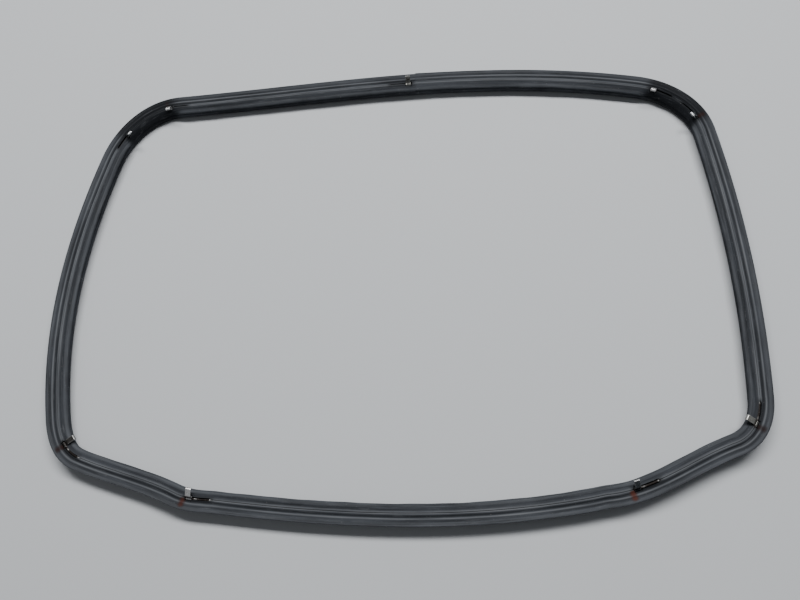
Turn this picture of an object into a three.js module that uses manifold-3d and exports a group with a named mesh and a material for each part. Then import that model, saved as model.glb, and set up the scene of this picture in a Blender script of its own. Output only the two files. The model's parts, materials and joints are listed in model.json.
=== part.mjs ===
// Door seal of an oven: a loop of extruded rubber profile with nine steel fixing hooks. It lies on its hollow
// bulb, with its mounting face up. Millimetres, +Z up, +X to the right, +Y towards the top run. The origin is
// the middle of the loop, on the surface that the bulb rests on.
import * as THREE from 'three';
import { mergeVertices } from 'three/addons/utils/BufferGeometryUtils.js';
import Module from 'manifold-3d';

const wasm = await Module();
wasm.setup();

// ---- Driving dimensions ----

// Outer edge of the loop
const overallWidth = 536.5;
const overallHeight = 374.6;

// Corners of the centreline, counter-clockwise from the top left. side and end: the side and end of the overall
// box that each is nearest. inset and rise: how far in it lies from a centreline that follows that box. bend: how
// far its round corner runs back along both edges. bow: how far the edge after it swells outwards, and lean: how
// much more in its second half. The two halves differ a little, because the soft loop lies as it was put down.
const corners = [
  { name: 'top_left', side: -1, end: 1, inset: 17.1, rise: 10.5, bend: 54, bow: 13.6, lean: 0.13 },
  { name: 'left_lower', side: -1, end: -1, inset: 11.1, rise: 47.8, bend: 23, bow: -0.5, lean: 3 },
  { name: 'bottom_left', side: -1, end: -1, inset: 124.5, rise: 9.6, bend: 15.7, bow: 9.2, lean: 0.18 },
  { name: 'bottom_right', side: 1, end: -1, inset: 118.2, rise: 11.1, bend: 6, bow: 2.7, lean: -1.33 },
  { name: 'right_lower', side: 1, end: -1, inset: 3.5, rise: 55.5, bend: 23.3, bow: 6.3, lean: -0.03 },
  { name: 'top_right', side: 1, end: 1, inset: 10.7, rise: 14.3, bend: 47.7, bow: 13, lean: -0.58 },
];

// Rubber profile. Distances "in" run from its outer edge towards the middle of the loop.
const profileWidth = 14;
const faceHeight = 11.4; // the lip's face above the surface that the bulb rests on
const edgeThickness = 1.6; // of the band and the lip at their free edges
const bandWidth = 3.1; // outer band
const grooveWidth = 0.7;
const grooveDepth = 0.7;
const ribWidth = 1.4;
const ribHeight = 0.6;
const slitIn = 7.8; // middle of the slit
const slitWidth = 0.8;
const slitLipThickness = 0.8; // rubber above the channel
const webThickness = 1.4; // rubber between the channel and the hollow
const neckWall = 1.7; // rubber on each side of the channel
const bulbWidth = 11;
const bulbFootWidth = 4.6; // flat underside
const bulbWall = 1.4;

// Hooks of steel strip, and the wire pins that hold them
const stripWidth = 4;
const stripThickness = 0.4;
const pinDiameter = 1.5;
const tipReach = 2; // between the lip's free edge and the tip of a head that lies flat
const tipLength = 1.2;
const tipTurn = 70; // degrees that the tip turns down at the end of the head
const foldRadius = 0.5; // middle of the strip
const swingIn = 45; // degrees that the neck leans over the lip when the head lies flat
const swingOut = 45; // degrees that it leans the other way when the hook stands open
const panelGap = 0.9; // between the lip's face and a head that lies flat
const pinTail = 18.4; // length of pin on its long side of the hook
const pinStub = 4.6; // and on its short side
const pinHeld = 2; // length of tail that stays under the closed slit
const tailSlotWidth = 2;

// Clearances and the joint
const clearance = 0.3;
const eyeClearance = 0.35; // pin in the eye
const seamGap = 0.3; // glue line
const seamFromHook = 6;
const plugLength = 24;

// Hooks, counter-clockwise. Each is placed along the centreline from the middle of a round corner, or from the
// middle of the edge that follows it. tail: the way its pin runs, 1 for counter-clockwise. rest: degrees that its
// neck leans as the seal lies there, outwards from upright.
const hooks = [
  { name: 'top_left', corner: 'top_left', past: -31, tail: -1, rest: -6 },
  { name: 'left_upper', corner: 'top_left', past: 13.2, tail: 1, rest: -4 },
  { name: 'left_lower', corner: 'left_lower', past: 3.7, tail: 1, rest: -45 },
  { name: 'bottom_left', corner: 'bottom_left', past: -4.7, tail: 1, rest: -12 },
  { name: 'bottom_right', corner: 'bottom_right', past: 25.4, tail: 1, rest: -3 },
  { name: 'right_lower', corner: 'right_lower', past: 0.8, tail: 1, rest: -28 },
  { name: 'right_upper', corner: 'top_right', past: -21.3, tail: 1, rest: -4 },
  { name: 'top_right', corner: 'top_right', past: 21.3, tail: -1, rest: -6 },
  { name: 'top_centre', edgeAfter: 'top_right', past: -5.2, tail: 1, rest: 45, besideSeam: true },
];

// ---- Fineness of the facets ----

const edgeStep = 32; // mm
const bendStep = THREE.MathUtils.degToRad(12);
const pinStep = 3.3; // mm
const pinSides = 10;

// ---- Sizes that follow ----

const rad = THREE.MathUtils.degToRad;
const pinRadius = pinDiameter / 2;
const curlRadius = pinRadius + eyeClearance + stripThickness / 2; // middle of the strip
const eyeRadius = curlRadius + stripThickness / 2;
const channelTop = faceHeight - slitLipThickness;
const pinHeight = channelTop - clearance - pinRadius;
const channelFloor = pinHeight - eyeRadius - clearance;
const channelHalf = eyeRadius + clearance + 0.1;
const hollowTop = channelFloor - webThickness;
const neckHalf = channelHalf + neckWall;

// ---- Centreline of the loop ----

// Corner points in the plane, and the two ends of each edge where the round corners begin.
const points = corners.map(({ side, end, inset, rise }) => new THREE.Vector2(
  side * ((overallWidth - profileWidth) / 2 - inset),
  end * ((overallHeight - profileWidth) / 2 - rise),
));
const edges = corners.map(({ bend, bow, lean }, i) => {
  const next = (i + 1) % corners.length;
  const along = points[next].clone().sub(points[i]).normalize();
  const outward = new THREE.Vector2(along.y, -along.x);
  const start = points[i].clone().addScaledVector(along, bend);
  const end = points[next].clone().addScaledVector(along, -corners[next].bend);
  const third = start.distanceTo(end) / 3;
  const swell = bow * 4 / 3;
  const a = start.clone().addScaledVector(along, third).addScaledVector(outward, swell * (1 - lean));
  const b = end.clone().addScaledVector(along, -third).addScaledVector(outward, swell * (1 + lean));
  return new THREE.CubicBezierCurve(start, a, b, end);
});

// A round corner that leaves one edge and meets the next without a kink, and nearly an arc.
function roundCorner(before, after) {
  const leaving = before.v3.clone().sub(before.v2).normalize();
  const arriving = after.v1.clone().sub(after.v0).normalize();
  const turn = Math.acos(leaving.dot(arriving));
  const reach = before.v3.distanceTo(after.v0) * (2 / 3) * Math.tan(turn / 4) / Math.sin(turn / 2);
  const a = before.v3.clone().addScaledVector(leaving, reach);
  const b = after.v0.clone().addScaledVector(arriving, -reach);
  return { curve: new THREE.CubicBezierCurve(before.v3, a, b, after.v0), steps: Math.ceil(turn / bendStep) };
}

const pieces = corners.flatMap((corner, i) => {
  const edge = edges[i];
  const before = edges[(i + corners.length - 1) % corners.length];
  return [roundCorner(before, edge), { curve: edge, steps: Math.ceil(edge.getLength() / edgeStep) }];
});
const centreline = new THREE.CurvePath();
pieces.forEach(({ curve }) => centreline.add(curve));
const ends = centreline.getCurveLengths();
const loopLength = centreline.getLength();
const starts = [0, ...ends];

// The loop lies with the middle of its own box on the origin.
const middle = new THREE.Box2().setFromPoints(centreline.getPoints(60)).getCenter(new THREE.Vector2());

// The place at a distance along the centreline: a point, the way along and the way in.
function place(distance) {
  const turn = THREE.MathUtils.euclideanModulo(distance / loopLength, 1);
  const at = centreline.getPoint(turn).sub(middle);
  const along = centreline.getTangent(turn);
  return { at, along, inward: new THREE.Vector2(-along.y, along.x) };
}

// A curve through the places at a list of distances, one step for each. Its own frame puts a shape's first
// coordinate downwards and its second inwards.
class Run extends THREE.Curve {
  constructor(distances) {
    super();
    this.distances = distances;
  }

  // Distance along the centreline, for t from 0 to 1 over the whole list.
  distanceAt(t) {
    const step = t * (this.distances.length - 1);
    const i = Math.min(Math.floor(step), this.distances.length - 2);
    return THREE.MathUtils.lerp(this.distances[i], this.distances[i + 1], step - i);
  }

  getUtoTmapping(u) {
    return u;
  }

  getPoint(t, target = new THREE.Vector3()) {
    const { at } = place(this.distanceAt(t));
    return target.set(at.x, at.y, 0);
  }

  getTangent(t, target = new THREE.Vector3()) {
    const { along } = place(this.distanceAt(t));
    return target.set(along.x, along.y, 0);
  }
}

// Point of a section, given as its distance in from the outer edge and its height.
function sectionPoint([inFromEdge, height]) {
  return new THREE.Vector2(-height, inFromEdge - profileWidth / 2);
}

// Sweeps a section along the centreline through a list of distances. A hollow in it runs the other way round.
function sweep(section, distances, hollow) {
  const shape = new THREE.Shape(section.map(sectionPoint));
  if (hollow) shape.holes.push(new THREE.Path(hollow.map(sectionPoint).reverse()));
  return new THREE.ExtrudeGeometry(shape, {
    steps: distances.length - 1,
    bevelEnabled: false,
    extrudePath: new Run(distances),
  });
}

// Evenly spaced distances from one to another, no further apart than the step.
function spaced(from, to, step) {
  const count = Math.ceil(Math.abs(to - from) / step);
  return Array.from({ length: count + 1 }, (_, i) => THREE.MathUtils.lerp(from, to, i / count));
}

// ---- Solids ----

function toSolid(geometry) {
  const bare = geometry.clone();
  bare.deleteAttribute('normal');
  bare.deleteAttribute('uv');
  const merged = mergeVertices(bare, 1e-3);
  return new wasm.Manifold(new wasm.Mesh({
    numProp: 3,
    vertProperties: merged.attributes.position.array,
    triVerts: new Uint32Array(merged.index.array),
  }));
}

function toGeometry(solid) {
  const mesh = solid.getMesh();
  const geometry = new THREE.BufferGeometry();
  geometry.setAttribute('position', new THREE.BufferAttribute(mesh.vertProperties, 3));
  geometry.setIndex(new THREE.BufferAttribute(mesh.triVerts, 1));
  geometry.computeVertexNormals();
  return geometry;
}

// ---- Where each hook stands ----

const placed = hooks.map((hook) => {
  const index = corners.findIndex(({ name }) => name === (hook.corner ?? hook.edgeAfter));
  const piece = hook.corner ? 2 * index : 2 * index + 1;
  const distance = (starts[piece] + ends[piece]) / 2 + hook.past;
  const { at, along, inward } = place(distance);
  const foot = at.addScaledVector(inward, slitIn - profileWidth / 2);
  return { ...hook, distance, foot, turn: Math.atan2(along.y, along.x) };
});

// Puts an object's x axis along the pin, its y axis inwards and its origin on the pin's axis.
function setOnPin(object, { foot, turn }) {
  object.position.set(foot.x, foot.y, pinHeight);
  object.rotation.z = turn;
  return object;
}

// ---- Rubber profile ----

function profileSection() {
  const top = faceHeight;
  const under = faceHeight - edgeThickness;
  const ribIn = bandWidth + grooveWidth;
  const bulbOut = slitIn - bulbWidth / 2;
  const bulbIn = slitIn + bulbWidth / 2;
  const bulbMiddle = (hollowTop + bulbWall) / 2;
  const round = bulbMiddle * 0.62;
  return [
    [0, under], [0, top - 0.3], [0.4, top + 0.1], [bandWidth, top + 0.1],
    [bandWidth + 0.1, top - grooveDepth], [ribIn - 0.1, top - grooveDepth],
    [ribIn, top + ribHeight - 0.2], [ribIn + 0.3, top + ribHeight], [ribIn + ribWidth - 0.3, top + ribHeight],
    [ribIn + ribWidth, top], [slitIn - slitWidth / 2, top],
    [slitIn - slitWidth / 2, channelTop], [slitIn - channelHalf, channelTop],
    [slitIn - channelHalf, channelFloor], [slitIn + channelHalf, channelFloor],
    [slitIn + channelHalf, channelTop], [slitIn + slitWidth / 2, channelTop],
    [slitIn + slitWidth / 2, top], [profileWidth - 0.4, top], [profileWidth, top - 0.4],
    [profileWidth, under + 0.2], [profileWidth - 0.4, under], [slitIn + neckHalf, under - 0.6],
    [slitIn + neckHalf, hollowTop + 0.4], [bulbIn, bulbMiddle + round], [bulbIn + 0.2, bulbMiddle],
    [bulbIn - 0.3, bulbMiddle - round], [slitIn + bulbFootWidth / 2 + 1.4, 0.5],
    [slitIn + bulbFootWidth / 2, 0], [slitIn - bulbFootWidth / 2, 0],
    [slitIn - bulbFootWidth / 2 - 1.4, 0.5], [bulbOut + 0.3, bulbMiddle - round],
    [bulbOut - 0.2, bulbMiddle], [bulbOut, bulbMiddle + round], [slitIn - neckHalf, hollowTop + 0.4],
    [slitIn - neckHalf, under - 0.6],
  ];
}

// The hollow of the bulb, drawn in from the bulb's own outline by its wall and by any further gap.
function hollowSection(gap) {
  const half = bulbWidth / 2 - bulbWall - gap;
  const low = bulbWall + gap;
  const high = hollowTop - gap;
  const mid = (low + high) / 2;
  const quarter = (high - low) / 4;
  return [
    [slitIn - half * 0.5, low], [slitIn - half * 0.88, mid - quarter], [slitIn - half, mid],
    [slitIn - half * 0.94, mid + quarter], [slitIn - half * 0.7, high], [slitIn + half * 0.7, high],
    [slitIn + half * 0.94, mid + quarter], [slitIn + half, mid], [slitIn + half * 0.88, mid - quarter],
    [slitIn + half * 0.5, low],
  ];
}

// Opening that flares upwards, for the neck of a hook to rock in.
function rockingWindow(hook) {
  const low = channelTop - 0.1 - pinHeight;
  const high = faceHeight + ribHeight + 0.5 - pinHeight;
  const reach = (height, swing) => (
    height * Math.tan(rad(swing)) + (stripThickness / 2 + clearance) / Math.cos(rad(swing))
  );
  const shape = new THREE.Shape([
    new THREE.Vector2(reach(low, swingIn), low), new THREE.Vector2(reach(high, swingIn), high),
    new THREE.Vector2(-reach(high, swingOut), high), new THREE.Vector2(-reach(low, swingOut), low),
  ]);
  const length = stripWidth + 2 * clearance;
  const cut = new THREE.Mesh(extrudeAlongPin(shape, length));
  setOnPin(cut, hook).updateMatrix();
  return cut.geometry.applyMatrix4(cut.matrix);
}

// Slot in which the tail of a pin shows.
function tailSlot({ distance, tail }) {
  const low = channelTop - 0.1;
  const high = faceHeight + ribHeight + 0.5;
  const section = [
    [slitIn - tailSlotWidth / 2, low], [slitIn + tailSlotWidth / 2, low],
    [slitIn + tailSlotWidth / 2, high], [slitIn - tailSlotWidth / 2, high],
  ];
  const stretch = [distance, distance + tail * (pinTail - pinHeld)].sort((a, b) => a - b);
  return sweep(section, spaced(...stretch, pinStep));
}

// The profile has a station on each side of a hook, so that its channel runs straight past the eye, and others
// spread over the edges and the round corners.
function sealLoop() {
  const seam = placed.find(({ besideSeam }) => besideSeam).distance - seamFromHook;
  const first = seam + seamGap / 2;
  const last = seam + loopLength - seamGap / 2;
  const beside = stripWidth / 2 + clearance;
  const atHooks = placed.flatMap(({ distance }) => [distance - beside, distance + beside]);
  const spread = pieces.flatMap(({ steps }, i) => (
    Array.from({ length: steps }, (_, k) => THREE.MathUtils.lerp(starts[i], ends[i], k / steps))
  )).filter((distance) => atHooks.every((hook) => Math.abs(hook - distance) > stripWidth));
  const between = [...atHooks, ...spread]
    .map((distance) => (distance < seam ? distance + loopLength : distance))
    .filter((distance) => distance - first > pinStep && last - distance > pinStep)
    .sort((a, b) => a - b);
  let solid = toSolid(sweep(profileSection(), [first, ...between, last], hollowSection(0)));
  for (const hook of placed) {
    solid = solid.subtract(toSolid(rockingWindow(hook)));
    solid = solid.subtract(toSolid(tailSlot(hook)));
  }
  return toGeometry(solid);
}

function jointPlug() {
  const seam = placed.find(({ besideSeam }) => besideSeam).distance - seamFromHook;
  return sweep(hollowSection(clearance + 0.1), spaced(seam - plugLength / 2, seam + plugLength / 2, plugLength / 2));
}

// ---- Hooks and pins ----

// Extrudes a shape, drawn as (inwards, up), to a length along the pin and centred on the hook.
function extrudeAlongPin(shape, length) {
  const geometry = new THREE.ExtrudeGeometry(shape, { depth: length, bevelEnabled: false });
  geometry.translate(0, 0, -length / 2);
  const axes = new THREE.Matrix4().makeBasis(
    new THREE.Vector3(0, 1, 0),
    new THREE.Vector3(0, 0, 1),
    new THREE.Vector3(1, 0, 0),
  );
  return geometry.applyMatrix4(axes);
}

// Both sides of a strip that is walked from a point in a direction: each move is a straight length, or a turn in
// degrees (left is positive) round a radius in a number of steps.
function stripOutline(x, y, heading, moves, thickness) {
  const left = [];
  const right = [];
  const mark = () => {
    const side = new THREE.Vector2(-Math.sin(heading), Math.cos(heading)).multiplyScalar(thickness / 2);
    left.push(new THREE.Vector2(x + side.x, y + side.y));
    right.unshift(new THREE.Vector2(x - side.x, y - side.y));
  };
  mark();
  for (const { straight, turn = 0, radius = 0, steps = 1 } of moves) {
    const chord = straight ?? 2 * radius * Math.sin(Math.abs(rad(turn)) / steps / 2);
    for (let i = 0; i < steps; i += 1) {
      heading += rad(turn) / steps / 2;
      x += chord * Math.cos(heading);
      y += chord * Math.sin(heading);
      heading += rad(turn) / steps / 2;
      mark();
    }
  }
  return new THREE.Shape([...left, ...right]);
}

// The strip, drawn upright as (inwards, up) with the pin's axis at 0, 0. It curls round the pin, turns up over
// the pin's middle as the neck, and folds inwards as the head, whose tip turns down.
function hookShape() {
  const free = rad(120);
  const leave = 65;
  const curl = 360 + leave - 120;
  const level = curlRadius * Math.cos(rad(leave)) - foldRadius * (1 - Math.cos(rad(leave)));
  const step = level / Math.sin(rad(leave));
  const neckFoot = curlRadius * Math.sin(rad(leave)) + step * Math.cos(rad(leave)) + foldRadius * Math.sin(rad(leave));
  const headTurn = 90 - swingIn;
  const foldHeight = (faceHeight + panelGap + stripThickness / 2 - pinHeight) / Math.cos(rad(swingIn));
  const foldLength = foldRadius * Math.tan(rad(headTurn) / 2);
  const tipFold = foldRadius * Math.tan(rad(tipTurn) / 2);
  const lip = profileWidth - slitIn;
  const headLength = lip + tipReach + stripThickness / 2 - foldHeight * Math.sin(rad(swingIn));
  return stripOutline(curlRadius * Math.cos(free), curlRadius * Math.sin(free), free + Math.PI / 2, [
    { turn: curl, radius: curlRadius, steps: 18 },
    { straight: step },
    { turn: -leave, radius: foldRadius, steps: 3 },
    { straight: foldHeight - neckFoot - foldLength },
    { turn: -headTurn, radius: foldRadius, steps: 3 },
    { straight: headLength - foldLength - tipFold },
    { turn: -tipTurn, radius: foldRadius, steps: 4 },
    { straight: tipLength },
  ], stripThickness);
}

function pin({ distance, tail }) {
  const section = Array.from({ length: pinSides }, (_, i) => {
    const angle = 2 * Math.PI * i / pinSides;
    return [slitIn + pinRadius * Math.cos(angle), pinHeight + pinRadius * Math.sin(angle)];
  });
  const stretch = [distance - tail * pinStub, distance + tail * pinTail].sort((a, b) => a - b);
  return sweep(section, spaced(...stretch, pinStep));
}

// ---- Materials and the assembly ----

const rubber = new THREE.MeshStandardMaterial({ color: 0x2f3236, roughness: 0.72, metalness: 0 });
const plugRubber = new THREE.MeshStandardMaterial({ color: 0x1d1e20, roughness: 0.85, metalness: 0 });
const stripSteel = new THREE.MeshStandardMaterial({ color: 0xb9bcc0, roughness: 0.3, metalness: 1 });
const wireSteel = new THREE.MeshStandardMaterial({ color: 0x9a9da1, roughness: 0.35, metalness: 1 });

function named(name, geometry, material) {
  const mesh = new THREE.Mesh(geometry, material);
  mesh.name = name;
  return mesh;
}

const seal = new THREE.Group();
seal.add(named('seal_loop', sealLoop(), rubber));
seal.add(named('joint_plug', jointPlug(), plugRubber));
for (const hook of placed) {
  seal.add(named(`pin_${hook.name}`, pin(hook), wireSteel));
  const strip = named(`hook_${hook.name}`, extrudeAlongPin(hookShape(), stripWidth), stripSteel);
  strip.rotation.x = rad(hook.rest);
  const stand = setOnPin(new THREE.Group(), hook);
  stand.add(strip);
  seal.add(stand);
}

export default seal;
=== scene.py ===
# Door seal of an oven: a loop of black extruded rubber, held to the door by nine steel hooks that rock on
# wire pins. It lies on its hollow bulb with the mounting face up. Metres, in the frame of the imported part.
import json
import math

import bpy
import numpy as np
from mathutils import Matrix, Vector


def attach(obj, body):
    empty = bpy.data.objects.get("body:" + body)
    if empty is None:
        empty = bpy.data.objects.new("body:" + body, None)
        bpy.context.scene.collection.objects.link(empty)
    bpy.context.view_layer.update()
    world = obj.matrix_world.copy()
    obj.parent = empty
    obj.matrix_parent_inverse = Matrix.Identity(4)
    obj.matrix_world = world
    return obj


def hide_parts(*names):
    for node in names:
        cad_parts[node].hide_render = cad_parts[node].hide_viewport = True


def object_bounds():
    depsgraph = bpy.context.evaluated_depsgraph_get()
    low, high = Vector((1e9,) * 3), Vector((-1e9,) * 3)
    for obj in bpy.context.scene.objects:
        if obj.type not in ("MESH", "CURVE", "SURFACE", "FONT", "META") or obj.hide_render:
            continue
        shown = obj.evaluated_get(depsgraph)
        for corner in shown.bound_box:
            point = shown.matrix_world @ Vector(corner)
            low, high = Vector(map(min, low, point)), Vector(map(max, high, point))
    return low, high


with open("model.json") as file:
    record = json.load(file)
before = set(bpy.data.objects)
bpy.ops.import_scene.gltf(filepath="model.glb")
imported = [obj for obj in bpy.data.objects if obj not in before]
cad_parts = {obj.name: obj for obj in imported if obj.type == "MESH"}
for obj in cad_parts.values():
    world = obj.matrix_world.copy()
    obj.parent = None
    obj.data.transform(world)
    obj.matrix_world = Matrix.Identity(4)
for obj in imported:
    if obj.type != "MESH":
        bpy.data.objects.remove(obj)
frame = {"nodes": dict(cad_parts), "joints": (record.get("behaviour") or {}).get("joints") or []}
cad_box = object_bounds()
bpy.ops.object.select_all(action="DESELECT")

# ---- Camera ----
# A hand-held compact camera, standing in front of the bottom run and tilted to the right.

look_at = Vector((0.00692, -0.02338, 0.0114))
azimuth = 13.18
elevation = 67.33
roll = -13.68
camera_distance = 0.54092
bpy.ops.object.camera_add()
camera = bpy.context.object
camera.name = "camera"
camera.data.lens = 31.99
camera.data.sensor_width = 36
camera.data.clip_start = 0.01
camera.matrix_world = (
    Matrix.Translation(look_at)
    @ Matrix.Rotation(math.radians(azimuth), 4, "Z")
    @ Matrix.Rotation(math.radians(90 - elevation), 4, "X")
    @ Matrix.Rotation(math.radians(roll), 4, "Z")
    @ Matrix.Translation((0, 0, camera_distance))
)
bpy.context.scene.camera = camera

# ---- Table and light ----
# A plain pale table top under one long soft lamp, which hangs behind the seal and throws its shadow forwards,
# and a pale room that fills the rest.

def new_material(name):
    """An empty material with a Principled BSDF, returned as material, node tree and shader."""
    material = bpy.data.materials.new(name)
    material.use_nodes = True
    shader = material.node_tree.nodes["Principled BSDF"]
    return material, material.node_tree, shader


bpy.ops.mesh.primitive_plane_add(size=8, location=(0, 0, cad_box[0][2]))
table = bpy.context.object
table.name = "table_top"
table_paint, tree, shader = new_material("pale table")
shader.inputs["Base Color"].default_value = (0.62, 0.64, 0.66, 1)
shader.inputs["Roughness"].default_value = 0.75
shader.inputs["Specular IOR Level"].default_value = 0.2
table.data.materials.append(table_paint)

lamp_at = Vector((0.1, 0.78, 1.66))
bpy.ops.object.light_add(type="AREA", location=lamp_at)
lamp = bpy.context.object
lamp.name = "soft_lamp"
lamp.data.shape = "RECTANGLE"
lamp.data.size = 2.2
lamp.data.size_y = 0.4
lamp.data.energy = 46
lamp.rotation_euler = lamp_at.to_track_quat("Z", "Y").to_euler()

bpy.ops.object.light_add(type="AREA", location=(-1.1, -0.5, 1.3))
fill = bpy.context.object
fill.name = "fill_lamp"
fill.data.size = 1.4
fill.data.energy = 1.5
fill.rotation_euler = fill.location.to_track_quat("Z", "Y").to_euler()

room = bpy.context.scene.world or bpy.data.worlds.new("room")
bpy.context.scene.world = room
room.use_nodes = True
room.node_tree.nodes["Background"].inputs["Color"].default_value = (0.9, 0.94, 1, 1)
room.node_tree.nodes["Background"].inputs["Strength"].default_value = 0.09

# ---- Seal loop ----
# One length of extruded rubber. Its face has an outer band, a groove, a rib, two raised lips that close over
# the channel for the hooks, and a soft inner flap. Under the channel hangs the hollow bulb, which the door
# squeezes.

mm = 0.001
loop_width = 536.5 * mm
loop_height = 374.6 * mm
profile_width = 14 * mm

# Corners of the centreline, counter-clockwise from the top left: side and end of the loop, inset and rise
# from that corner, how far the round corner runs back, and the swell and lean of the edge that follows.
corners = [
    (-1, 1, 17.1, 10.5, 54, 13.6, 0.13),
    (-1, -1, 11.1, 47.8, 23, -0.5, 3),
    (-1, -1, 124.5, 9.6, 15.7, 9.2, 0.18),
    (1, -1, 118.2, 11.1, 6, 2.7, -1.33),
    (1, -1, 3.5, 55.5, 23.3, 6.3, -0.03),
    (1, 1, 10.7, 14.3, 47.7, 13, -0.58),
]
corner_points = [
    np.array((side * ((loop_width - profile_width) / 2 - inset * mm),
              end * ((loop_height - profile_width) / 2 - rise * mm)))
    for side, end, inset, rise, *_ in corners
]


def unit(vector):
    return vector / np.linalg.norm(vector)


def bezier(start, first, second, end, count=400):
    t = np.linspace(0, 1, count, endpoint=False)[:, None]
    return (1 - t) ** 3 * start + 3 * (1 - t) ** 2 * t * first + 3 * (1 - t) * t ** 2 * second + t ** 3 * end


edges = []
for i, (_, _, _, _, bend, bow, lean) in enumerate(corners):
    after = (i + 1) % len(corners)
    along = unit(corner_points[after] - corner_points[i])
    outward = np.array((along[1], -along[0])) * bow * mm * 4 / 3
    start = corner_points[i] + along * bend * mm
    next_bend = corners[after][4]
    end = corner_points[after] - along * next_bend * mm
    third = along * np.linalg.norm(end - start) / 3
    edges.append((start, start + third + outward * (1 - lean), end - third + outward * (1 + lean), end))

stretches = []
for i, edge in enumerate(edges):
    before = edges[i - 1]
    leaving = unit(before[3] - before[2])
    arriving = unit(edge[1] - edge[0])
    turn = math.acos(leaving @ arriving)
    reach = np.linalg.norm(before[3] - edge[0]) * 2 / 3 * math.tan(turn / 4) / math.sin(turn / 2)
    stretches.append(bezier(before[3], before[3] + leaving * reach, edge[0] - arriving * reach, edge[0]))
    stretches.append(bezier(*edge))
route = np.vstack(stretches)
route -= (route.max(0) + route.min(0)) / 2
steps = np.roll(route, -1, 0) - route
run = np.concatenate(([0], np.cumsum(np.linalg.norm(steps, axis=1))))
loop_length = run[-1]
headings = np.roll(route, -1, 0) - np.roll(route, 1, 0)
headings /= np.linalg.norm(headings, axis=1)[:, None]


def place(distance):
    """The point on the centreline and the way in from it, at distances along the loop."""
    distance = np.mod(distance, loop_length)
    at, along = (
        np.stack([np.interp(distance, run, np.append(line[:, k], line[0, k])) for k in (0, 1)], -1)
        for line in (route, headings)
    )
    along /= np.linalg.norm(along, axis=-1)[..., None]
    return at, np.stack((-along[..., 1], along[..., 0]), -1)


# Each hook stands over the slit, at the place along the loop that its joint gives. The tail of its pin runs
# counter-clockwise from it, or clockwise at top_left and top_right.
slit_in = 7.8 * mm
pin_height = 9.55 * mm
_, ways_in = place(run[:-1])
slit_line = route + ways_in * (slit_in - profile_width / 2)
hooks = {}
for joint in frame["joints"]:
    name = joint["child"].replace("hook_", "")
    pin = Vector(joint["pos_m"])
    nearest = int(np.argmin(np.linalg.norm(slit_line - np.array(pin[:2]), axis=1)))
    hooks[name] = {"pin": pin, "axis": Vector(joint["axis"]), "at": run[nearest]}
tails = {name: -1 if name in ("top_left", "top_right") else 1 for name in hooks}


def way_from(distance, hook):
    """How far distances are from a hook, positive along the tail of its pin."""
    offset = np.mod(distance - hooks[hook]["at"] + loop_length / 2, loop_length) - loop_length / 2
    return offset * tails[hook]


# Half of the section at a time, as (in from the outer edge, height), in millimetres.
outer_edge = [(1.3, 9.7), (0.25, 9.85), (0, 10.2), (0, 11.2), (0.12, 11.48)]
outer_face = [
    (0.4, 11.5), (1.5, 11.5), (2.5, 11.42), (2.9, 11.32), (3.15, 11.3), (3.4, 11.42), (3.7, 11.64),
    (4.0, 11.76), (4.3, 11.74), (4.6, 11.56), (4.9, 11.25), (5.2, 11.05), (5.55, 11.0), (5.95, 11.1),
    (6.35, 11.32), (6.8, 11.55), (7.2, 11.68), (7.5, 11.64), (7.68, 11.45),
]
outer_lip_wall = [(7.72, 11.2), (7.72, 10.75), (7.4, 10.6)]
channel = [
    (6.0, 10.55), (5.9, 10.4), (5.9, 7.95), (6.1, 7.75), (9.5, 7.75), (9.7, 7.95), (9.7, 10.4), (9.6, 10.55),
]
inner_lip_wall = [(8.2, 10.6), (7.88, 10.75), (7.88, 11.2)]
inner_face = [
    (7.95, 11.5), (8.15, 11.7), (8.5, 11.78), (8.9, 11.7), (9.3, 11.45), (9.9, 11.2), (11.0, 11.05),
    (12.2, 11.05), (13.2, 11.1), (13.75, 10.92),
]
inner_edge = [(14.0, 10.55), (13.95, 10.0), (13.6, 9.7), (12.6, 9.55), (11.7, 9.2)]
bulb = [
    (11.4, 8.7), (11.4, 7.0), (11.7, 6.6), (12.6, 6.1), (13.2, 5.0), (13.35, 3.8), (13.05, 2.4), (12.2, 1.1),
    (11.2, 0.3), (10.1, 0), (7.8, 0), (5.5, 0), (4.4, 0.3), (3.4, 1.1), (2.55, 2.4), (2.25, 3.8), (2.4, 5.0),
    (3.0, 6.1), (3.9, 6.6), (4.2, 7.0), (4.2, 8.7), (3.9, 9.2), (3.0, 9.5),
]
hollow = [
    (5.7, 1.4), (4.3, 2.5), (3.7, 3.9), (3.9, 5.1), (4.9, 6.2), (5.4, 6.35), (10.2, 6.35), (10.7, 6.2),
    (11.7, 5.1), (11.9, 3.9), (11.3, 2.5), (9.9, 1.4),
]
section = []
parts_of_section = {}
for name, points in (
    ("outer_edge", outer_edge), ("outer_face", outer_face), ("outer_lip_wall", outer_lip_wall),
    ("channel", channel), ("inner_lip_wall", inner_lip_wall), ("inner_face", inner_face),
    ("inner_edge", inner_edge), ("bulb", bulb),
):
    parts_of_section[name] = slice(len(section), len(section) + len(points))
    section += points
section = np.array(section) * mm
hollow = np.array(hollow) * mm

# Stations along the loop, close together from just before each hook to past its pin. The loop is cut at the
# top, beside the middle hook, where its two ends are glued.
seam_from_hook = 6 * mm
seam_gap = 0.06 * mm
fine_step = 0.6 * mm
coarse_step = 2.7 * mm
fine_before = 8 * mm
fine_after = 19.5 * mm
seam = hooks["top_centre"]["at"] - seam_from_hook
stations = [seam + seam_gap / 2]
while stations[-1] < seam + loop_length - seam_gap / 2:
    near = any(-fine_before < way_from(stations[-1], hook) < fine_after for hook in hooks)
    stations.append(stations[-1] + (fine_step if near else coarse_step))
stations[-1] = seam + loop_length - seam_gap / 2
stations = np.array(stations)


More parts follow.
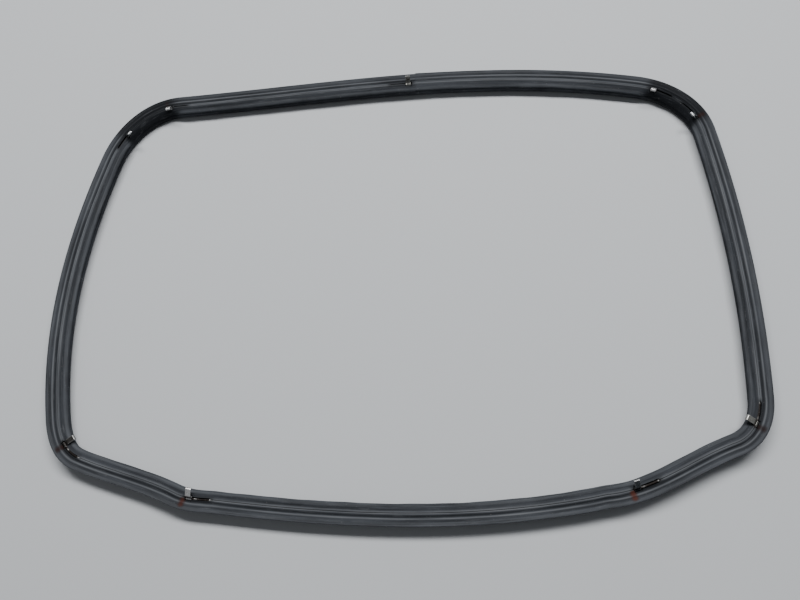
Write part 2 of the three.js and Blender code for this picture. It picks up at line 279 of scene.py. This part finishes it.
def store(mesh, name, values):
    """Keeps a number for each vertex, for the material to read."""
    layer = mesh.attributes.new(name, "FLOAT", "POINT")
    layer.data.foreach_set("value", values.astype(np.float32).ravel())


def recall(mesh, name):
    """Reads back the number of each vertex."""
    values = np.zeros(len(mesh.vertices), np.float32)
    mesh.attributes[name].data.foreach_get("value", values)
    return values


def sweep(name, distances, across, height):
    """Rolls a grid up into a tube: one row for each distance, one column for each point of the section."""
    across = np.column_stack((across, across[:, 0]))
    height = np.column_stack((height, height[:, 0]))
    rows, columns = across.shape
    bpy.ops.object.select_all(action="DESELECT")
    bpy.ops.mesh.primitive_grid_add(x_subdivisions=columns - 1, y_subdivisions=rows - 1, size=1)
    tube = bpy.context.object
    tube.name = tube.data.name = name
    at, inward = place(distances)
    flat = at[:, None, :] + inward[:, None, :] * (across - profile_width / 2)[..., None]
    points = np.dstack((flat, height)).reshape(-1, 3)
    tube.data.vertices.foreach_set("co", points.astype(np.float32).ravel())
    store(tube.data, "along", np.repeat(distances, columns))
    store(tube.data, "across", across)
    store(tube.data, "row", np.repeat(np.arange(rows), columns))
    return tube


def edit(operator, **settings):
    """Runs one edit-mode operator on what is selected in the active mesh."""
    bpy.ops.object.mode_set(mode="EDIT")
    bpy.ops.mesh.select_mode(type="VERT")
    operator(**settings)
    bpy.ops.object.mode_set(mode="OBJECT")


def close_ends(tube):
    """Merges the roll's edge, fills both ends and turns the faces outwards."""
    tube.data.vertices.foreach_set("select", np.ones(len(tube.data.vertices), bool))
    edit(bpy.ops.mesh.remove_doubles, threshold=1e-6)
    for end in (min, max):
        rows = recall(tube.data, "row")
        bpy.ops.object.mode_set(mode="EDIT")
        bpy.ops.mesh.select_all(action="DESELECT")
        bpy.ops.object.mode_set(mode="OBJECT")
        tube.data.vertices.foreach_set("select", np.abs(rows - end(rows)) < 0.01)
        edit(bpy.ops.mesh.fill)
    edit(bpy.ops.mesh.select_all, action="SELECT")
    edit(bpy.ops.mesh.normals_make_consistent, inside=False)
    bpy.ops.object.shade_smooth_by_angle(angle=math.radians(42))


def ease(value):
    """0 to 1 with no kink at either end."""
    value = np.clip(value, 0, 1)
    return value * value * (3 - 2 * value)


def near_run(distance, first, last, soft):
    """1 between two hooks, counter-clockwise, falling to 0 over the soft length outside them."""
    length = np.mod(hooks[last]["at"] - hooks[first]["at"], loop_length)
    ahead = np.mod(distance - hooks[first]["at"] + soft, loop_length) - soft
    return ease((ahead + soft) / soft) * ease((length + soft - ahead) / soft)


def at_upper_corners(distance, soft):
    """1 between the two hooks of each upper corner, falling to 0 over the soft length outside them."""
    left = near_run(distance, "top_left", "left_upper", soft)
    right = near_run(distance, "right_upper", "top_right", soft)
    return np.maximum(left, right)


across = np.repeat(section[None, :, 0], len(stations), 0)
height = np.repeat(section[None, :, 1], len(stations), 0)
unbent = across.copy()

# The slit stands open over the tail of each pin, less or more far from hook to hook, and its walls flare at
# 45 degrees where the hook rocks.
half_opening = 1.05 * mm
rocking_half_width = 2.55 * mm
flare_start = 0.75 * mm
slackness = {"top_centre": 0.4, "top_left": 0.5, "right_upper": 0.6, "top_right": 0.8, "bottom_right": 1.25}
half_open = np.zeros_like(stations)
rocking = np.zeros_like(stations)
for hook in hooks:
    way = way_from(stations, hook)
    open_here = half_opening * ease((way + 3.5 * mm) / (1.2 * mm)) * ease((17.6 * mm - way) / (3 * mm))
    half_open = np.maximum(half_open, open_here * slackness.get(hook, 1))
    rocking = np.maximum(rocking, (np.abs(way) < rocking_half_width) * 1.0)
for side, lip_wall, face in ((-1, "outer_lip_wall", "outer_face"), (1, "inner_lip_wall", "inner_face")):
    for part in (lip_wall, face):
        columns = parts_of_section[part]
        depth = height[:, columns] - pin_height
        wide = (depth + flare_start) * rocking[:, None]
        limit = slit_in + side * np.maximum(half_open[:, None], wide)
        pushed = np.where(side * (across[:, columns] - limit) < 0, limit, across[:, columns])
        across[:, columns] = pushed
        if part == face:
            flat_part = section[columns]
            height[:, columns] = np.interp(pushed, flat_part[:, 0], flat_part[:, 1])

# The outer side of the face is spread outwards and lies a little high. The flap hangs down towards the
# inside, wavers along its edge, and is folded down where the loop is bent round the two upper corners.
face_bottom = 9.1 * mm
outer_width = 7 * mm
outer_spread = 1.0 * mm
outer_rise = 1.3 * mm
flap_width = 5.2 * mm
flap_stretch = 0.17
flap_root_in = 8.8 * mm
flap_root_height = 10.7 * mm
flap_hang = 21
corner_fold = 36
is_face = (section[:, 1] > face_bottom)[None, :]
outer_share = np.clip((outer_width - unbent) / outer_width, 0, 1) ** 2 * is_face
across -= outer_share * outer_spread
height += outer_share * outer_rise
flap_share = np.clip((unbent - flap_root_in) / flap_width, 0, 1) * is_face
folded = at_upper_corners(stations, 14 * mm)
waver = (
    np.sin(stations / (9.1 * mm))
    + 0.7 * np.sin(stations / (3.7 * mm) + 1.3)
    + 0.6 * np.sin(stations / (21.3 * mm) + 0.4)
)
hang = np.radians(flap_hang + corner_fold * folded + waver * (1.9 + 2.6 * folded))
angle = hang[:, None] * flap_share
long_flap = (across - flap_root_in) * (1 + flap_stretch * flap_share)
drop = height - flap_root_height
turned_in = flap_root_in + long_flap * np.cos(angle) + drop * np.sin(angle)
turned_up = flap_root_height - long_flap * np.sin(angle) + drop * np.cos(angle)
across = np.where(flap_share > 0, turned_in, across)
height = np.where(flap_share > 0, turned_up, height)

# At the glued joint the ribs don't meet: the end away from the hook was pushed in a little less deep.
seam_step_out = 0.5 * mm
seam_step_up = 0.18 * mm
seam_step_length = 26 * mm
from_seam = stations[-1] - stations
shift = np.exp(-from_seam / seam_step_length)[:, None] * is_face
across -= shift * seam_step_out
height += shift * seam_step_up

seal = sweep("seal_rubber_loop", stations, across, height)
inside = sweep(
    "seal_hollow", stations,
    np.repeat(hollow[None, :, 0], len(stations), 0), np.repeat(hollow[None, :, 1], len(stations), 0),
)
inside.select_set(True)
seal.select_set(True)
bpy.context.view_layer.objects.active = seal
bpy.ops.object.join()
close_ends(seal)

# What the surface shows: lighter crests, partly rubbed dust and partly painted highlight; painted shade in
# the grooves,
# along the open slit and on the flap folded down at the upper corners; and rust that has run out beside some
# hooks.
mesh = seal.data
count = len(mesh.vertices)
along_at = recall(mesh, "along")
across_at = recall(mesh, "across")
place_at = np.zeros(count * 3, np.float32)
mesh.vertices.foreach_get("co", place_at)
height_at = place_at[2::3]


def bump_at(value, middle, width):
    """1 in the middle, falling smoothly to nothing on both sides."""
    return np.exp(-(((value - middle) / width) ** 2))


on_face = ease((height_at - 7 * mm) / (1.5 * mm))
# Lighter crests: partly rubbed dust, partly a painted highlight on the tops of the ribs.
crest = on_face * (
    bump_at(across_at, 3.95 * mm, 0.75 * mm) + 1.15 * bump_at(across_at, 7.9 * mm, 1.15 * mm)
    + 0.4 * bump_at(across_at, 13.0 * mm, 1.1 * mm) + 0.35 * bump_at(across_at, 0.4 * mm, 1.3 * mm)
)
# Painted shade in the grooves.
groove = on_face * (
    0.4 * bump_at(across_at, 2.7 * mm, 0.5 * mm) + bump_at(across_at, 5.4 * mm, 0.8 * mm)
    + 0.45 * bump_at(across_at, 10.4 * mm, 1.2 * mm)
)

# Rust beside each hook: how much, how orange, and how far behind the hook, in millimetres.
stain = np.zeros(count)
warm = np.zeros(count)
for hook, amount, orange, behind in (
    ("top_left", 0.55, 0.4, 1.5), ("left_lower", 1.0, 0.15, -0.5), ("bottom_left", 1.0, 0.8, 3.8),
    ("bottom_right", 1.1, 1.0, 4.2), ("right_lower", 0.95, 0.1, 1.5), ("right_upper", 0.85, 0.3, 1),
    ("top_right", 0.3, 0.3, 1),
):
    way = way_from(along_at, hook)
    across_band = ease((across_at + 0.2 * mm) / (1.5 * mm)) * ease((8.2 * mm - across_at) / (1.5 * mm))
    mark = amount * bump_at(way, -behind * mm, 2.7 * mm) * across_band * on_face
    stain = np.maximum(stain, mark)
    warm = np.maximum(warm, mark * orange)
# Painted shade along the open slit beside each hook, from just before it to past its pin.
grime = np.zeros(count)
for hook in hooks:
    way = way_from(along_at, hook)
    reach = ease((way + 6 * mm) / (3 * mm)) * ease((20 * mm - way) / (4 * mm))
    grime = np.maximum(grime, reach * bump_at(across_at, slit_in, 2.2 * mm))
# Painted shade on the flap where it is folded down at the two upper corners.
tucked = at_upper_corners(along_at, 10 * mm)
for name, values in (
    ("crest", crest), ("groove", groove), ("stain", stain),
    ("warm", warm), ("grime", grime), ("tucked", tucked),
):
    store(mesh, name, values)


def add_node(tree, kind, inputs=None, **settings):
    """Adds a node, sets its settings, and links or sets its inputs."""
    node = tree.nodes.new(kind)
    for name, value in settings.items():
        setattr(node, name, value)
    for name, value in (inputs or {}).items():
        if isinstance(value, bpy.types.NodeSocket):
            tree.links.new(value, node.inputs[name])
        else:
            node.inputs[name].default_value = value
    return node


def mix(tree, share, first, second):
    """Colour that goes from the first to the second as share goes from 0 to 1."""
    node = add_node(tree, "ShaderNodeMix", {0: share, 6: first, 7: second}, data_type="RGBA")
    return node.outputs[2]


def math_node(tree, operation, first, second=0.0, clamp=False):
    node = add_node(tree, "ShaderNodeMath", {0: first, 1: second}, operation=operation, use_clamp=clamp)
    return node.outputs[0]


def noise(tree, vector, scale, detail=3.0, roughness=0.55):
    node = add_node(
        tree, "ShaderNodeTexNoise",
        {"Vector": vector, "Scale": scale, "Detail": detail, "Roughness": roughness},
    )
    return node.outputs["Fac"]


def stretched(tree, vector, scale):
    """The same coordinates, scaled by a different amount along each axis."""
    return add_node(tree, "ShaderNodeMapping", {"Vector": vector, "Scale": scale}).outputs["Vector"]


def levels(tree, value, low, high, low_out=0.0, high_out=1.0):
    """Takes the value from low..high to low_out..high_out, and no further."""
    node = add_node(
        tree, "ShaderNodeMapRange", {0: value, 1: low, 2: high, 3: low_out, 4: high_out}, clamp=True,
    )
    return node.outputs[0]


def bump_normal(tree, shader, height, distance, strength):
    """Bends the shader's normal by a height."""
    bump = add_node(tree, "ShaderNodeBump", {"Height": height, "Distance": distance, "Strength": strength})
    tree.links.new(bump.outputs["Normal"], shader.inputs["Normal"])


def attribute(tree, name):
    return add_node(tree, "ShaderNodeAttribute", attribute_name=name).outputs["Fac"]


def new_group(name, inputs, outputs):
    """An empty node group with the named sockets, returned with the outputs of its input node."""
    group = bpy.data.node_groups.new(name, "ShaderNodeTree")
    for in_out, sockets in (("INPUT", inputs), ("OUTPUT", outputs)):
        for socket, kind in sockets.items():
            group.interface.new_socket(socket, in_out=in_out, socket_type="NodeSocket" + kind)
    return group, add_node(group, "NodeGroupInput").outputs


def add_group(tree, group, inputs):
    return add_node(tree, "ShaderNodeGroup", inputs, node_tree=group).outputs


# Dusty extruded rubber: fine lines along the length, soft blotches, and a grain too small to see one by one.
rubber_marks, given = new_group(
    "extruded rubber",
    {"Vector": "Vector", "Dark": "Color", "Dusty": "Color", "Lines": "Float"},
    {"Color": "Color", "Roughness": "Float", "Height": "Float"},
)
fine_lines = noise(rubber_marks, stretched(rubber_marks, given["Vector"], (20, 1150, 1)), 1, 4, 0.6)
wide_lines = noise(rubber_marks, stretched(rubber_marks, given["Vector"], (5, 420, 1)), 1, 2, 0.5)
blotches = noise(rubber_marks, stretched(rubber_marks, given["Vector"], (34, 150, 60)), 1, 5, 0.65)
grain = noise(rubber_marks, stretched(rubber_marks, given["Vector"], (1500, 1900, 1700)), 1, 2, 0.6)
dust = math_node(rubber_marks, "MULTIPLY", fine_lines, given["Lines"])
dust = math_node(rubber_marks, "ADD", dust, math_node(rubber_marks, "MULTIPLY", wide_lines, 0.55))
dust = math_node(rubber_marks, "ADD", dust, math_node(rubber_marks, "MULTIPLY", blotches, 0.75))
dust = math_node(rubber_marks, "ADD", dust, math_node(rubber_marks, "MULTIPLY", grain, 0.3))
dust = levels(rubber_marks, dust, 0.98, 1.42)
line_relief = math_node(rubber_marks, "MULTIPLY", fine_lines, 0.5)
grain_relief = math_node(rubber_marks, "MULTIPLY", grain, 0.5)
add_node(
    rubber_marks, "NodeGroupOutput",
    {
        "Color": mix(rubber_marks, dust, given["Dark"], given["Dusty"]),
        "Roughness": levels(rubber_marks, blotches, 0.3, 0.7, 0.56, 0.76),
        "Height": math_node(rubber_marks, "ADD", line_relief, grain_relief),
    },
)

seal_rubber, tree, shader = new_material("seal rubber")
unrolled = {"X": attribute(tree, "along"), "Y": attribute(tree, "across")}
surface = add_node(tree, "ShaderNodeCombineXYZ", unrolled).outputs["Vector"]
marks = add_group(tree, rubber_marks, {
    "Vector": surface, "Dark": (0.010, 0.0115, 0.0145, 1), "Dusty": (0.060, 0.066, 0.077, 1), "Lines": 0.8,
})
patchy = levels(tree, noise(tree, stretched(tree, surface, (16, 260, 1)), 1, 3, 0.6), 0.34, 0.66)
# The crests are painted light grey: partly rubbed dust, partly a painted highlight.
crest_share = levels(tree, patchy, 0, 1, 0.3, 0.85)
rubbed = math_node(tree, "MULTIPLY", attribute(tree, "crest"), crest_share, clamp=True)
colour = mix(tree, rubbed, marks["Color"], (0.180, 0.190, 0.205, 1))
# Painted shade: the grooves are taken towards near black.
groove_share = levels(tree, patchy, 0, 1, 0.85, 0.5)
in_groove = math_node(tree, "MULTIPLY", attribute(tree, "groove"), groove_share, clamp=True)
colour = mix(tree, in_groove, colour, (0.012, 0.014, 0.017, 1))
# Painted shade: the open slit beside each hook is taken towards near black.
darker = math_node(tree, "MULTIPLY", attribute(tree, "grime"), 0.6)
colour = mix(tree, darker, colour, (0.006, 0.006, 0.007, 1))
# Painted shade on the folded-down flap at the upper corners.
shaded = math_node(tree, "MULTIPLY", attribute(tree, "tucked"), 0.85)
colour = mix(tree, shaded, colour, (0.006, 0.007, 0.009, 1))
streaks = noise(tree, stretched(tree, surface, (45, 900, 1)), 1, 5, 0.7)
colour = mix(tree, levels(tree, streaks, 0.56, 0.74, 0, 0.55), colour, (0.15, 0.158, 0.17, 1))
specks = noise(tree, stretched(tree, surface, (700, 800, 1)), 1, 2, 0.7)
colour = mix(tree, levels(tree, specks, 0.68, 0.74, 0, 0.45), colour, (0.26, 0.26, 0.26, 1))
ragged = noise(tree, stretched(tree, surface, (330, 420, 1)), 1, 4, 0.75)
rust_edge = math_node(tree, "ADD", attribute(tree, "stain"), math_node(tree, "MULTIPLY", ragged, 0.7))
rusty = levels(tree, rust_edge, 0.66, 1.35, 0, 0.85)
rust_colour = mix(tree, attribute(tree, "warm"), (0.016, 0.010, 0.009, 1), (0.085, 0.027, 0.018, 1))
colour = mix(tree, rusty, colour, rust_colour)
tree.links.new(colour, shader.inputs["Base Color"])
roughness = math_node(tree, "ADD", marks["Roughness"], math_node(tree, "MULTIPLY", rusty, 0.2))
tree.links.new(roughness, shader.inputs["Roughness"])
bump_normal(tree, shader, marks["Height"], 0.12 * mm, 0.7)
shader.inputs["Specular IOR Level"].default_value = 0.1
seal.data.materials.clear()
seal.data.materials.append(seal_rubber)
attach(seal, "seal")
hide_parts("seal_loop")

# ---- Joint plug ----
# A short core of plain moulded rubber, pushed into the hollow of both ends before they are glued. It stays as
# the part has it, and only its rubber is finished.

plug_rubber, tree, shader = new_material("plug rubber")
position = add_node(tree, "ShaderNodeTexCoord").outputs["Object"]
marks = add_group(tree, rubber_marks, {
    "Vector": position, "Dark": (0.012, 0.012, 0.013, 1), "Dusty": (0.035, 0.035, 0.037, 1), "Lines": 0.3,
})
tree.links.new(marks["Color"], shader.inputs["Base Color"])
tree.links.new(marks["Roughness"], shader.inputs["Roughness"])
bump_normal(tree, shader, marks["Height"], 0.1 * mm, 0.5)
plug = frame["nodes"]["joint_plug"]
plug.data.materials.clear()
plug.data.materials.append(plug_rubber)

# ---- Pins ----
# Lengths of drawn steel wire in the channel, one through the eye of each hook. The long side of each lies in
# the open slot, where its end has a painted glint.

pin_radius = 0.75 * mm
pin_tail = 18.4 * mm
pin_stub = 4.6 * mm
wire_sides = 20
wire_end = 0.22 * mm

# Worn bright steel: fine drawn or rolled lines, dull patches, brown spots and smeared dirt.
steel_wear, given = new_group(
    "worn steel",
    {"Vector": "Vector", "Bright": "Color", "Dull": "Color", "Rust": "Float", "Rubbed": "Float"},
    {"Color": "Color", "Roughness": "Float", "Metallic": "Float", "Height": "Float"},
)
patches = noise(steel_wear, stretched(steel_wear, given["Vector"], (420, 420, 420)), 1, 4, 0.6)
spots = noise(steel_wear, stretched(steel_wear, given["Vector"], (1300, 1300, 1300)), 1, 3, 0.65)
scratches = noise(steel_wear, stretched(steel_wear, given["Vector"], (4200, 500, 500)), 1, 2, 0.5)
rust_at = math_node(steel_wear, "ADD", spots, math_node(steel_wear, "MULTIPLY", patches, 0.4))
rust_at = math_node(steel_wear, "ADD", rust_at, given["Rust"])
# Painted highlight: where it is asked for, rust is held back and the colour goes towards near white.
rust_at = math_node(steel_wear, "SUBTRACT", rust_at, math_node(steel_wear, "MULTIPLY", given["Rubbed"], 0.5))
rust_at = levels(steel_wear, rust_at, 0.86, 1.02)
steel_colour = mix(steel_wear, levels(steel_wear, patches, 0.35, 0.65), given["Bright"], given["Dull"])
steel_colour = mix(steel_wear, rust_at, steel_colour, (0.016, 0.010, 0.008, 1))
shining = math_node(steel_wear, "MULTIPLY", given["Rubbed"], 0.7)
steel_colour = mix(steel_wear, shining, steel_colour, (0.85, 0.85, 0.84, 1))
add_node(
    steel_wear, "NodeGroupOutput",
    {
        "Color": steel_colour,
        "Roughness": math_node(
            steel_wear, "ADD", levels(steel_wear, scratches, 0.3, 0.7, 0.2, 0.4),
            math_node(steel_wear, "MULTIPLY", rust_at, 0.45),
        ),
        "Metallic": levels(steel_wear, rust_at, 0, 1, 0.7, 0.1),
        "Height": math_node(steel_wear, "ADD", scratches, math_node(steel_wear, "MULTIPLY", rust_at, 0.8)),
    },
)


def steel(name, bright, dull, rust):
    """Worn steel, with its own brightness and share of rust. Where its vertex attribute asks for a painted
    highlight, it goes near white and stays clean.
    """
    material, tree, shader = new_material(name)
    position = add_node(tree, "ShaderNodeTexCoord").outputs["Object"]
    wear = add_group(tree, steel_wear, {
        "Vector": position, "Bright": bright, "Dull": dull, "Rust": rust,
        "Rubbed": attribute(tree, "rubbed"),
    })
    tree.links.new(wear["Color"], shader.inputs["Base Color"])
    tree.links.new(wear["Roughness"], shader.inputs["Roughness"])
    tree.links.new(wear["Metallic"], shader.inputs["Metallic"])
    bump_normal(tree, shader, wear["Height"], 0.03 * mm, 0.5)
    return material


wire_steel = steel("drawn wire", (0.20, 0.19, 0.18, 1), (0.035, 0.032, 0.03, 1), 0.42)

# How strong a painted glint each wire gets beside its hook and at its end. The others hardly shine.
shines = {"bottom_left": 1, "left_lower": 0.8, "bottom_right": 0.5, "right_lower": 0.35}
faint_shine = 0.1
around = np.linspace(0, 2 * math.pi, wire_sides, endpoint=False)
lengths = np.concatenate((
    [-pin_stub, -pin_stub + wire_end * 0.3, -pin_stub + wire_end],
    np.linspace(-pin_stub + 1 * mm, pin_tail - 1 * mm, 30),
    [pin_tail - wire_end, pin_tail - wire_end * 0.3, pin_tail],
))
radii = np.full(len(lengths), pin_radius)
radii[[0, -1]] *= 0.6
radii[[1, -2]] *= 0.88
# Painted glint: near the tail's end, and in a spot beside the hook.
worn = ease((lengths - 14.6 * mm) / (1 * mm)) + 0.6 * bump_at(lengths, 4.6 * mm, 0.9 * mm)
for name in hooks:
    wire = sweep(
        "wire_" + name, hooks[name]["at"] + tails[name] * lengths,
        slit_in + radii[:, None] * np.cos(around), pin_height + radii[:, None] * np.sin(around),
    )
    store(wire.data, "rubbed", np.repeat(worn * shines.get(name, faint_shine), wire_sides + 1))
    close_ends(wire)
    wire.data.materials.append(wire_steel)
    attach(wire, "seal")
    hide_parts("pin_" + name)

# ---- Hooks ----
# Steel strip, 4 mm by 0.4 mm, cut to length and bent cold: an eye that curls round the pin, a neck, and a
# head that reaches over the flap with its tip turned down. Each sits on its own pin, with its own share of
# rust and its steel painted lighter or darker for how the light falls on it.

strip_width = 4 * mm
strip_thickness = 0.4 * mm
fold_radius = 0.5 * mm
curl_radius = pin_radius + 0.35 * mm + strip_thickness / 2
lean_in = 45
panel_gap = 0.9 * mm
face_height = 11.4 * mm
tip_reach = 2 * mm
tip_length = 1.2 * mm
tip_turn = 70
curl_start = 120
leave = 65
level = curl_radius * math.cos(math.radians(leave)) - fold_radius * (1 - math.cos(math.radians(leave)))
foot_length = level / math.sin(math.radians(leave))
neck_foot = (
    (curl_radius + fold_radius) * math.sin(math.radians(leave)) + foot_length * math.cos(math.radians(leave))
)
head_turn = 90 - lean_in
fold_height = (face_height + panel_gap + strip_thickness / 2 - pin_height) / math.cos(math.radians(lean_in))
fold_length = fold_radius * math.tan(math.radians(head_turn) / 2)
tip_fold = fold_radius * math.tan(math.radians(tip_turn) / 2)
head_length = (
    profile_width - slit_in + tip_reach + strip_thickness / 2 - fold_height * math.sin(math.radians(lean_in))
)

# Each bend as its turn in degrees, its radius or, with no turn, its length, and its number of steps.
bends = [
    (360 + leave - curl_start, curl_radius, 36), (0, foot_length, 2), (-leave, fold_radius, 8),
    (0, fold_height - neck_foot - fold_length, 3), (-head_turn, fold_radius, 7),
    (0, head_length - fold_length - tip_fold, 5), (-tip_turn, fold_radius, 9), (0, tip_length, 3),
]

# Walk along the middle of the strip, from the free end of the curl.
heading = math.radians(curl_start + 90)
walk = [curl_radius * np.array((math.cos(math.radians(curl_start)), math.sin(math.radians(curl_start))))]
for turn, size, count_of_steps in bends:
    chord = size / count_of_steps
    if turn:
        chord = 2 * size * math.sin(abs(math.radians(turn)) / count_of_steps / 2)
    for _ in range(count_of_steps):
        heading += math.radians(turn) / count_of_steps / 2
        walk.append(walk[-1] + chord * np.array((math.cos(heading), math.sin(heading))))
        heading += math.radians(turn) / count_of_steps / 2
walk = np.array(walk)

# Five copies of one steel, lighter or darker for how the light falls on each hook: a painted highlight, a
# painted
# light reflection, a plain one, one in painted shade with a bluish reflection, and a darker one with more
# rust.
highlight_strip = steel("bright strip", (0.95, 0.95, 0.95, 1), (0.75, 0.75, 0.75, 1), -0.1)
reflection_strip = steel("clean strip", (0.72, 0.73, 0.74, 1), (0.42, 0.42, 0.42, 1), 0.0)
plain_strip = steel("plain strip", (0.36, 0.36, 0.34, 1), (0.21, 0.21, 0.195, 1), 0.02)
shade_strip = steel("dull strip", (0.12, 0.135, 0.15, 1), (0.06, 0.066, 0.072, 1), 0.05)
darker_strip = steel("grimy strip", (0.060, 0.058, 0.055, 1), (0.028, 0.026, 0.024, 1), 0.1)
bpy.ops.object.select_all(action="DESELECT")
strip_columns = 7
bpy.ops.mesh.primitive_grid_add(x_subdivisions=strip_columns - 1, y_subdivisions=len(walk) - 1, size=1)
pattern = bpy.context.object
pattern.name = "hook_pattern"
columns = np.linspace(-0.5, 0.5, strip_columns) * strip_width
points = np.zeros((len(walk), strip_columns, 3))
points[..., 0] = columns[None, :]
points[..., 1] = walk[:, 0][:, None]
points[..., 2] = walk[:, 1][:, None]
pattern.data.vertices.foreach_set("co", points.astype(np.float32).ravel())

# Painted highlight along the strip's edges, where they catch the light, and over the tip's fold.
rubbed = np.zeros((len(walk), strip_columns))
rubbed[:, [0, -1]] = 0.3
rubbed[-12:-2] = 0.5
store(pattern.data, "rubbed", rubbed)

wall = pattern.modifiers.new("thickness", "SOLIDIFY")
wall.thickness = strip_thickness
wall.offset = 0
wall.use_even_offset = True
edge_round = pattern.modifiers.new("worn edges", "BEVEL")
edge_round.width = 0.07 * mm
edge_round.segments = 2
edge_round.limit_method = "ANGLE"
edge_round.angle_limit = math.radians(50)
for modifier in ("thickness", "worn edges"):
    bpy.ops.object.modifier_apply(modifier=modifier)
edit(bpy.ops.mesh.select_all, action="SELECT")
edit(bpy.ops.mesh.normals_make_consistent, inside=False)
bpy.ops.object.shade_smooth_by_angle(angle=math.radians(35))

# How far each neck leans outwards from upright as the seal lies there, and which copy of the steel it gets,
# lighter or darker for how the light falls on that hook. The joint of the top middle hook turns the other
# way, so its axis is reversed.
for name, rest, finish in (
    ("top_left", -6, reflection_strip), ("left_upper", -4, shade_strip), ("left_lower", -45, darker_strip),
    ("bottom_left", -12, highlight_strip), ("bottom_right", -3, shade_strip), ("right_lower", -28, plain_strip),
    ("right_upper", -4, shade_strip), ("top_right", -6, reflection_strip), ("top_centre", 45, plain_strip),
):
    hook = hooks[name]
    along = hook["axis"] * (-1 if name == "top_centre" else 1)
    lean = math.radians(rest)
    stand = Matrix.Translation(hook["pin"]) @ Matrix.Rotation(math.atan2(along.y, along.x), 4, "Z")
    strip = bpy.data.objects.new("strip_" + name, pattern.data.copy())
    bpy.context.scene.collection.objects.link(strip)
    strip.data.transform(stand @ Matrix.Rotation(lean, 4, "X"))
    strip.data.materials.append(finish)
    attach(strip, "hook_" + name)
    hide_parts("hook_" + name)
bpy.data.objects.remove(pattern)
